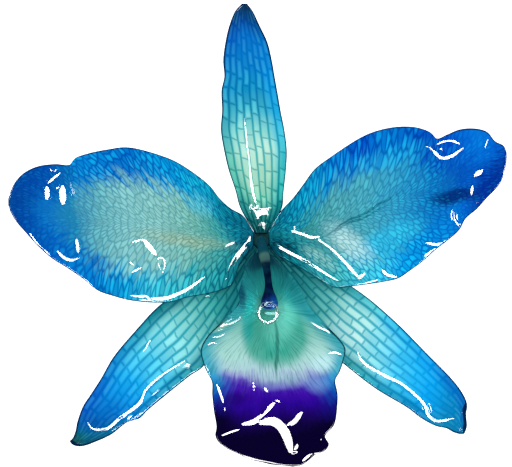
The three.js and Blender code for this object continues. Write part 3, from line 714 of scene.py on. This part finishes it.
def tissue(name, look, veins):
    """Dyed petal tissue under resin: three colour runs from the base to the tip, for the heart and
    for either margin, feathered along the veins, then dye spots and spots of painted shade, veins,
    the paler cells between them and a dark line of painted shade along the rim, where the coat has
    run off. It is dull at a few folds too."""
    material, add, here = new_material(name)
    place = add("Attribute", attribute_name="place")
    along, from_left, from_right = add("SeparateXYZ", [place]).outputs
    net = add("Attribute", attribute_name="veins")
    run, lane, from_rim = add("SeparateXYZ", [net]).outputs
    blot = add("TexNoise", {"Vector": here, "Scale": 160.0, "Detail": 4.0})
    slow_run = add("Math", [run, 0.16], **TIMES)
    feather_place = add("CombineXYZ", [slow_run, lane])
    feather = add("TexNoise", {"Vector": feather_place, "Scale": look["feather_scale"], "Detail": 3.0})
    stray = add("Math", [feather, 0.5], operation="SUBTRACT")
    drift = add("MapRange", [blot, 0.0, 1.0, -0.06, 0.06])
    drifted = add("Math", [along, drift], operation="ADD")
    place_along = add("Math", [stray, look["streak"], drifted], **TIMES_PLUS)
    colour = add("ValToRGB", [place_along], look["heart"])
    margin_share = 0.0
    for side, distance in (("left", from_left), ("right", from_right)):
        margin = add("ValToRGB", [place_along], look[side])
        strayed = add("Math", [stray, look["feather"], distance], **TIMES_PLUS)
        share = add("MapRange", [strayed, *look["reach"], 1.0, 0.0], **SMOOTH)
        margin_share = add("Math", [share, margin_share], operation="MAXIMUM")
        colour = add("Mix", [share, colour, margin], **BLEND)
    wobble = add("TexNoise", {"Vector": here, "Scale": 200.0, "Detail": 2.0}).outputs["Color"]
    centred = add("VectorMath", [wobble, (0.5, 0.5, 0.5)], operation="SUBTRACT")
    pushed = add("VectorMath", [centred, (2 * MM, 2 * MM, 0.0), here], **TIMES_PLUS)
    for hue, *patch in look["spots"]:
        share = patch_share(add, pushed, *patch)
        colour = add("Mix", [share, colour, hue], **BLEND)
    vein, cell, tone = veins(add, run, lane)
    dull = add("MapRange", [tone, 0.0, 1.0, look["dull_cell"], 0.0])
    vein = add("Math", [vein, dull], operation="MAXIMUM")
    start, end, rest = look["vein_fade"]
    fade_in = add("MapRange", [margin_share, 0.0, 1.0, look["heart_veins"], 1.0])
    fade_out = add("MapRange", [along, start, end, 1.0, rest], **SMOOTH)
    fade = add("Math", [fade_in, fade_out], **TIMES)
    vein_share = add("Math", [vein, fade], **TIMES)
    darkened = add("Math", [vein_share, look["vein_strength"]], **TIMES)
    colour = add("Mix", [darkened, colour, look["vein"]], blend_type="MULTIPLY", **BLEND)
    toned = add("Math", [cell, tone], **TIMES)
    cell_share = add("Math", [toned, fade], **TIMES)
    lightened = add("Math", [cell_share, look["cell_strength"]], **TIMES)
    colour = add("Mix", [lightened, colour, look["cell"]], blend_type="SCREEN", **BLEND)
    past_throat = add("MapRange", [along, look["throat"], look["throat"] + 0.06, 0.0, 1.0], **SMOOTH)
    # Painted shade: a dark, slightly uneven line along the rim, left out in the lip's throat.
    rim_shade_width = add("Math", [blot, 0.15, from_rim], **TIMES_PLUS)
    rim = add("MapRange", [rim_shade_width, 0.16, 0.45, 0.95, 0.0], **SMOOTH)
    rim_shade_share = add("Math", [rim, past_throat], **TIMES)
    colour = add("Mix", [rim_shade_share, colour, look["rim"]], **BLEND)
    relief = add("Math", [cell, vein], operation="SUBTRACT")
    past_rim = add("MapRange", [from_rim, 0.3, 0.4, 0.0, 1.0], **SMOOTH)
    coat = add("Math", [past_rim, past_throat], **TIMES)
    for patch in look["dull"]:
        dulled = patch_share(add, here, *patch, 1.0, DULL_EDGE)
        coat = add("Math", [coat, dulled], operation="SUBTRACT", use_clamp=True)
    under_resin(add, colour, relief, coat)
    return material


# Painted shade: the dark line along every margin, where the resin rounds off.
NAVY_RIM_SHADE = "#02183a"
SEPAL_NET = dict(
    spots=[], dull=[], reach=(0.5, 3.4), feather=1.5, feather_scale=0.9, streak=0.0, heart_veins=1.0,
    throat=-0.1, vein="#1cb0c8", vein_strength=0.95, dull_cell=0.35, vein_fade=(0.5, 0.85, 0.4),
    cell="#3a8484", cell_strength=0.85, rim=NAVY_RIM_SHADE,
)
PETAL_NET = dict(
    reach=(2.8, 8.0), feather=12.0, feather_scale=1.2, streak=0.0, heart_veins=0.65,
    throat=-0.1, vein="#24a8c8", vein_strength=0.95, dull_cell=0.4, vein_fade=(0.6, 0.85, 0.3),
    cell="#0a8098", cell_strength=0.95, rim=NAVY_RIM_SHADE,
)
DORSAL_LOOK = dict(
    SEPAL_NET,
    heart={0: "#0a3f48", 8: "#2a8a80", 15: "#8cdab8", 25: "#bce8c8", 36: "#c8f0dc", 45: "#96e0d8",
           53: "#44b4cc", 62: "#1094c8", 72: "#0884cc", 85: "#0470c8", 93: "#0450ac", 100: "#10242f"},
    left={0: "#0a3f48", 10: "#168a88", 20: "#4cbca4", 33: "#74d0b8", 43: "#5fc0c0", 52: "#38a8c0",
          60: "#1490c4", 72: "#047cc8", 85: "#045cbc", 100: "#0a2f58"},
    right={0: "#0a3f48", 10: "#129c98", 22: "#28c0b8", 33: "#44ccd0", 43: "#4cd0e8", 52: "#24b8ec",
           65: "#0898e4", 80: "#047cd0", 90: "#0458a4", 100: "#0a2f58"},
)
LEFT_PETAL_LOOK = dict(
    PETAL_NET,
    heart={0: "#0f5a63", 6: "#1a7c86", 15: "#48a8a0", 25: "#7cbcac", 38: "#90c8c0", 50: "#8cc8c6",
           62: "#6cb4bc", 73: "#2488b4", 83: "#0c70c0", 92: "#0352a8", 100: "#04489f"},
    left={0: "#0f6a74", 10: "#1b8c92", 25: "#38b4b4", 40: "#40c8e0", 52: "#14a8e0", 65: "#0484d8",
          80: "#0464c0", 90: "#024eaa", 100: "#023f98"},
    right={0: "#0e5f73", 12: "#0c86a0", 22: "#14acd4", 35: "#0498e0", 50: "#0476d2", 65: "#0488dc",
           75: "#0a6cb8", 85: "#024eac", 100: "#023f98"},
    # the second spot is painted shade where the petal meets the foot of the column
    spots=[("#a8bc98", (185, 240), (72, 11), -8, 0.7, 1.0), ("#0a4f62", (252, 247), (18, 15), 0, 0.9, 0.6),
           ("#0a6cc0", (100, 262), (20, 9), -20, 0.6, 0.8),
           ("#60c8d8", (200, 206), (22, 13), -35, 0.7, 0.8),
           ("#0888d4", (148, 171), (30, 9), -12, 0.75, 0.8)],
    dull=[((77, 168), (12, 36), 0), ((251, 227), (7, 10), 0)],
)
RIGHT_PETAL_LOOK = dict(
    PETAL_NET,
    heart={0: "#0f5a63", 8: "#1f7f86", 16: "#409c9c", 28: "#54a8b0", 42: "#4cacc0", 55: "#2c9aca",
           66: "#107cc4", 80: "#0452b8", 90: "#0258c8", 100: "#0148c8"},
    left={0: "#0e5f73", 10: "#0c90ae", 20: "#10a2d6", 32: "#047ad4", 42: "#0258d0", 52: "#0484dc",
          62: "#0260cc", 75: "#0250c8", 88: "#0478dc", 100: "#0250c4"},
    right={0: "#0f6a74", 10: "#1b8c92", 25: "#50c4c4", 40: "#48d4f4", 52: "#08acf4", 68: "#0488e0",
           80: "#0462cc", 90: "#02309a", 100: "#02309a"},
    spots=[("#34c4ec", (385, 242), (58, 19), 27, 0.8, 0.7),
           ("#c8ece8", (349, 244), (42, 20), -38, 0.8, 0.9),
           ("#1ba4e4", (385, 158), (60, 14), 18, 0.6, 0.7), ("#04206e", (455, 197), (34, 11), 8, 0.85, 0.7),
           # painted shade where the petal meets the foot of the column
           ("#05404f", (281, 247), (20, 13), -20, 0.9, 0.6),
           ("#a4d4c8", (320, 258), (30, 9), -30, 0.6, 0.8),
           ("#17707f", (362, 214), (58, 2.0), 29, 0.8, 0.6),
           ("#17707f", (360, 219), (42, 1.7), 26, 0.7, 0.6)],
    dull=[((271, 233), (6, 10), 0)],
)
LEFT_SEPAL_LOOK = dict(
    SEPAL_NET,
    heart={0: "#1f7f86", 15: "#2a9a9e", 27: "#4cc0b8", 37: "#94e4dc", 47: "#94ecf0", 57: "#54d4f4",
           66: "#1cb4f4", 73: "#0898e8", 80: "#0474cc", 86: "#045cb0", 93: "#0a6a94", 100: "#123f45"},
    dull=[((173, 379), (26, 6), 39)],
    left={0: "#1f7f86", 20: "#1f9096", 35: "#1a9498", 50: "#1292a4", 60: "#1290c0", 70: "#0884c4",
          80: "#0478c0", 90: "#0a6a94", 100: "#123f45"},
    right={0: "#1f7f86", 25: "#168a90", 40: "#1a8f96", 50: "#149ab0", 58: "#0c90c8", 66: "#0480d0",
           76: "#0468cc", 86: "#045ac0", 93: "#0a6a78", 100: "#123f45"},
)
RIGHT_SEPAL_LOOK = dict(
    SEPAL_NET,
    heart={0: "#1f7f86", 15: "#2a9094", 22: "#40acaa", 31: "#74ccc4", 39: "#b8f0e8", 47: "#bcf4f0",
           55: "#90e8f4", 64: "#44ccf8", 72: "#1cb8f8", 80: "#08a8f4", 89: "#088ccc", 100: "#087ab4"},
    spots=[("#d8fcf8", (346, 333), (32, 14), -38, 0.6, 0.8)],
    dull=[((461, 422), (6, 9), 0)],
    left={0: "#1f7f86", 20: "#1f8a90", 33: "#34a8a4", 40: "#4cc4c8", 48: "#50ccdc", 56: "#28bcec",
          66: "#10a8e8", 76: "#069cec", 86: "#0476cc", 100: "#045fb0"},
    right={0: "#1f7f86", 25: "#1f9096", 40: "#2fa0a0", 50: "#30b4b8", 60: "#149cc0", 70: "#0890c4",
           80: "#0884c4", 90: "#1088b8", 100: "#087ab4"},
)
LIP_LOOK = dict(
    heart={0: "#0a3f4a", 10: "#1a8c90", 22: "#30a89e", 32: "#6fbcb0", 40: "#92ccc4", 47: "#a8d8d2",
           53.5: "#a8ccd4", 56: "#98a4d0", 58.5: "#6654bc", 61.5: "#421ca8", 64: "#3a0ca0", 69: "#2a0690",
           74: "#1c0468", 79: "#10043f", 84: "#080228", 100: "#080228"},
    left={0: "#0a3f4a", 15: "#1a7f84", 30: "#2f98a0", 45: "#40a8b8", 54: "#48acc8", 59: "#1a7cc4",
          64: "#0c44a8", 70: "#14107a", 80: "#080228", 100: "#080228"},
    right={0: "#0a3f4a", 15: "#1a7f84", 30: "#2f98a0", 45: "#40a8b8", 54: "#48acc8", 59: "#1f88c4",
           65: "#0c44a8", 71: "#14107a", 77: "#080228", 100: "#080228"},
    spots=[("#a8d4d4", (284, 378), (46, 12), 0, 0.65, 1.0), ("#26a08c", (263, 336), (24, 35), 0, 0.85, 0.5),
           ("#26a08c", (291, 338), (23, 33), 0, 0.8, 0.5), ("#26a08c", (277, 345), (20, 28), 0, 0.7, 0.6),
           ("#68ccba", (278, 322), (21, 33), 0, 0.9, 0.7), ("#12a09c", (248, 318), (10, 36), -4, 0.75, 0.7),
           ("#c0ecf0", (323, 364), (20, 14), 30, 0.8, 0.8),
           ("#7aa4dc", (317, 384), (18, 12), -20, 0.6, 1.0),
           ("#1c0468", (234, 399), (26, 11), 8, 0.7, 0.8), ("#8088cc", (278, 386), (24, 7), 0, 0.5, 0.9),
           ("#a8d6b8", (221, 326), (15, 5), 30, 0.6, 0.9),
           ("#187468", (276, 350), (2.5, 40), 0, 0.7, 0.6),
           # painted shadow in the fold of the throat's left side, and painted shade about the foot of the
           # column
           ("#083f5a", (238, 288), (7, 26), 6, 0.85, 0.7), ("#083f52", (262, 260), (30, 12), 0, 0.85, 0.7)],
    dull=[], reach=(0.7, 4.5), feather=2.5, feather_scale=1.2, streak=0.06, heart_veins=1.0,
    throat=0.3, vein="#5fa9a8", vein_strength=0.5, dull_cell=0.0, vein_fade=(0.58, 0.68, 0.0),
    # rim is the colour of the painted shade along the margins
    cell="#3a4f4f", cell_strength=0.3, rim="#02102a",
)


def column_material():
    """Dyed column tissue under resin: nearly black along its neck, deep blue at the bulb, with painted
    light that makes the bulb's right side brighter, and the grey green of the ovary behind the bloom."""
    material, add, here = new_material("column_tissue_under_epoxy")
    along, cosine, _ = add("SeparateXYZ", [add("Attribute", attribute_name="place")]).outputs
    core = add("ValToRGB", [along], {
        0: "#4f8f80", 40: "#0a3f4c", 49: "#0a3f4c", 50.5: "#406860", 53: "#3a5c58", 54.5: "#06202f",
        60: "#010f26", 78: "#020f34", 86: "#081c5c", 100: "#06194a",
    })
    # Painted light: the bulb is lighter on its right side, as though lit from there.
    to_the_right = add("MapRange", [cosine, -0.1, 0.6, 0.0, 0.8], **SMOOTH)
    at_the_bulb = add("MapRange", [along, 0.72, 0.86, 0.0, 1.0], **SMOOTH)
    painted_light_share = add("Math", [to_the_right, at_the_bulb], **TIMES)
    colour = add("Mix", [painted_light_share, core, "#0f4590"], **BLEND)
    grain = add("TexNoise", {"Vector": here, "Scale": 900.0, "Detail": 3.0})
    grain_share = add("MapRange", [grain, 0.4, 0.7, 0.0, 0.2], **SMOOTH)
    colour = add("Mix", [grain_share, colour, "#1a4a6a"], **BLEND)
    coat = add("Math", [at_the_bulb, 0.3], **TIMES)
    under_resin(add, colour, grain, coat)
    return material


def anther_material():
    """The pale anther cap under resin: waxy and almost white, with a faint teal mottle."""
    material, add, here = new_material("anther_cap_under_epoxy")
    grain = add("TexNoise", {"Vector": here, "Scale": 1200.0, "Detail": 2.0})
    colour = add("ValToRGB", [grain], {30: "#6fbcb8", 70: "#b4e6e0"})
    under_resin(add, colour, grain, 0.5)
    return material


def epoxy_drop_material():
    """Clear epoxy that has run together into a drop: see-through, with a faint wave in its surface
    that bends what lies behind it."""
    material, add, here = new_material("clear_epoxy_drop")
    wave = add("TexNoise", {"Vector": here, "Scale": 500.0, "Detail": 1.0})
    bump = add("Bump", {"Strength": 0.1, "Distance": RELIEF * MM, "Height": wave})
    tint = add("ValToRGB", [wave], {20: "#d8f3f2", 80: "#f4fffd"})
    shader = add("BsdfPrincipled", {
        "Base Color": tint,
        "Roughness": 0.02,
        "IOR": 1.4,
        "Transmission Weight": 1.0,
        "Normal": bump,
    })
    add("OutputMaterial", {"Surface": shader})
    return material


# The bloom

def sepal_lanes(across, along):
    """Eight long veins that keep their share of the width, so they close up towards both ends."""
    return across * 4


def petal_lanes(across, along):
    """Veins that leave the middle line at a slant and bend out to the margin, closer together on one
    side than on the other. They stand 0.4 to 1 mm apart."""
    return 36 * (0.37 * np.sqrt(np.abs(across) + 0.04) * (1 + 0.15 * across) - along)


def lip_lanes(across, along):
    """Lines that fan out all round from a point under the tip of the column, which hides it. Lanes are
    0.45 mm wide 10 mm from it."""
    return 22 * np.arctan2(0.32 * (across - 0.13), along - 0.27)


random = np.random.default_rng(SEED)
BLADES = [
    # node, table, record slot, look, veins, lanes
    ("dorsal_sepal", DORSAL_SEPAL, "sepal_tissue", DORSAL_LOOK, sepal_veins, sepal_lanes),
    ("left_sepal", LEFT_SEPAL, "sepal_tissue", LEFT_SEPAL_LOOK, sepal_veins, sepal_lanes),
    ("right_sepal", RIGHT_SEPAL, "sepal_tissue", RIGHT_SEPAL_LOOK, sepal_veins, sepal_lanes),
    ("left_petal", LEFT_PETAL, "petal_tissue", LEFT_PETAL_LOOK, petal_veins, petal_lanes),
    ("right_petal", RIGHT_PETAL, "petal_tissue", RIGHT_PETAL_LOOK, petal_veins, petal_lanes),
    ("lip", LIP, "lip_tissue", LIP_LOOK, lip_veins, lip_lanes),
]


def finish_piece(piece, node, material):
    """Gives a piece its material and its place in the record."""
    piece.data.materials.append(material)
    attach(piece, "root")
    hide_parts(node)


for node, blade, slot, look, veins, lanes in BLADES:
    piece = coated_blade(node + "_coated", blade, lanes, random)
    finish_piece(piece, node, tissue(node + "_tissue_under_epoxy", look, veins))

column_share = np.linspace(0, 1, COLUMN_GRID[0])
column_middles = spline([row[:3] for row in COLUMN_ROWS], column_share)
column_radii = spline([(row[3], 0.0, 0.0) for row in COLUMN_ROWS], column_share)[:, 0]
column = round_body("column_coated", column_middles, column_radii, COLUMN_GRID[1])
finish_piece(column, "column", column_material())

tilt = np.linspace(-math.pi / 2, math.pi / 2, ANTHER_GRID[0] + 2)[1:-1]
half_circle = np.stack([np.cos(tilt), np.sin(tilt)], axis=-1)
anther = turned_body("anther_cap_coated", ANTHER_MIDDLE, half_circle, ANTHER_RADII, ANTHER_GRID[1])
finish_piece(anther, "anther_cap", anther_material())
drop = turned_body("resin_drop_clear", DROP_MIDDLE, DROP_OUTLINE, (1.0, DROP_LENGTH, 1.0), DROP_SIDES)
finish_piece(drop, "resin_drop", epoxy_drop_material())


# The studio

def paper_floor():
    """White seamless paper, lit from within a little so that it photographs as pure white."""
    half = 3000.0
    corners = np.array([(-half, -half, 0.0), (half, -half, 0.0), (half, half, 0.0), (-half, half, 0.0)])
    corners[:, 2] = -UNDER_BLOOM
    floor = fill_mesh("paper_floor", corners, [(0, 1, 2, 3)], {})
    material, add, here = new_material("white_seamless_paper")
    fibre = add("TexNoise", {"Vector": here, "Scale": 700.0, "Detail": 2.0})
    white = add("ValToRGB", [fibre], {30: "#f0f2f2", 70: "#ffffff"})
    shader = add("BsdfPrincipled", {
        "Base Color": white,
        "Roughness": 0.9,
        "Specular IOR Level": 0.0,
        "Emission Color": "#ffffff",
        "Emission Strength": FLOOR_GLOW,
    })
    add("OutputMaterial", {"Surface": shader})
    floor.data.materials.append(material)
    floor.visible_glossy = False


def softbox(name, turn):
    """A softbox on the half ring, facing the bloom. It shows in the resin and leaves the colours
    to the light of the room."""
    light = bpy.data.lights.new(name, "AREA")
    light.shape = "RECTANGLE"
    light.size, light.size_y = SOFTBOX_SIZE[0] * MM, SOFTBOX_SIZE[1] * MM
    light.energy = SOFTBOX_RADIANCE * math.pi * light.size * light.size_y
    stand = bpy.data.objects.new(name, light)
    bpy.context.scene.collection.objects.link(stand)
    stand.location = (RING_OUT * math.cos(turn) * MM, RING_OUT * math.sin(turn) * MM, RING_HIGH * MM)
    stand.rotation_euler = (RING_FROM_ZENITH, 0.0, turn + math.pi / 2)
    stand.visible_diffuse = False
    stand.visible_camera = False


def room_light():
    """Even white light from all sides, left out of the resin's reflections."""
    world = bpy.data.worlds.new("studio_room")
    world.use_nodes = True
    world.node_tree.nodes.clear()
    add = functools.partial(add_node, world.node_tree)
    ray = add("LightPath").outputs["Is Glossy Ray"]
    strength = add("MapRange", {"Value": ray, "To Min": ROOM_LIGHT, "To Max": 0.0})
    white = add("Background", {"Color": "#ffffff", "Strength": strength})
    add("OutputWorld", {"Surface": white})
    bpy.context.scene.world = world


paper_floor()
room_light()
for number, degrees in enumerate(SOFTBOX_TURNS):
    softbox("softbox_%d" % number, math.radians(degrees))

camera = bpy.data.cameras.new("camera")
camera.sensor_width = SENSOR_WIDTH
camera.lens = SENSOR_WIDTH * CAMERA_HEIGHT / (PHOTO_SIZE[0] * MM_PER_PIXEL)
camera_stand = bpy.data.objects.new("camera", camera)
bpy.context.scene.collection.objects.link(camera_stand)
camera_x, camera_y = on_bloom((PHOTO_SIZE[0] / 2, PHOTO_SIZE[1] / 2)) * MM
camera_stand.location = (camera_x, camera_y, (CAMERA_HEIGHT + FACE_HEIGHT) * MM)
bpy.context.scene.camera = camera_stand
bpy.context.scene.view_settings.view_transform = "Standard"

bpy.context.view_layer.update()
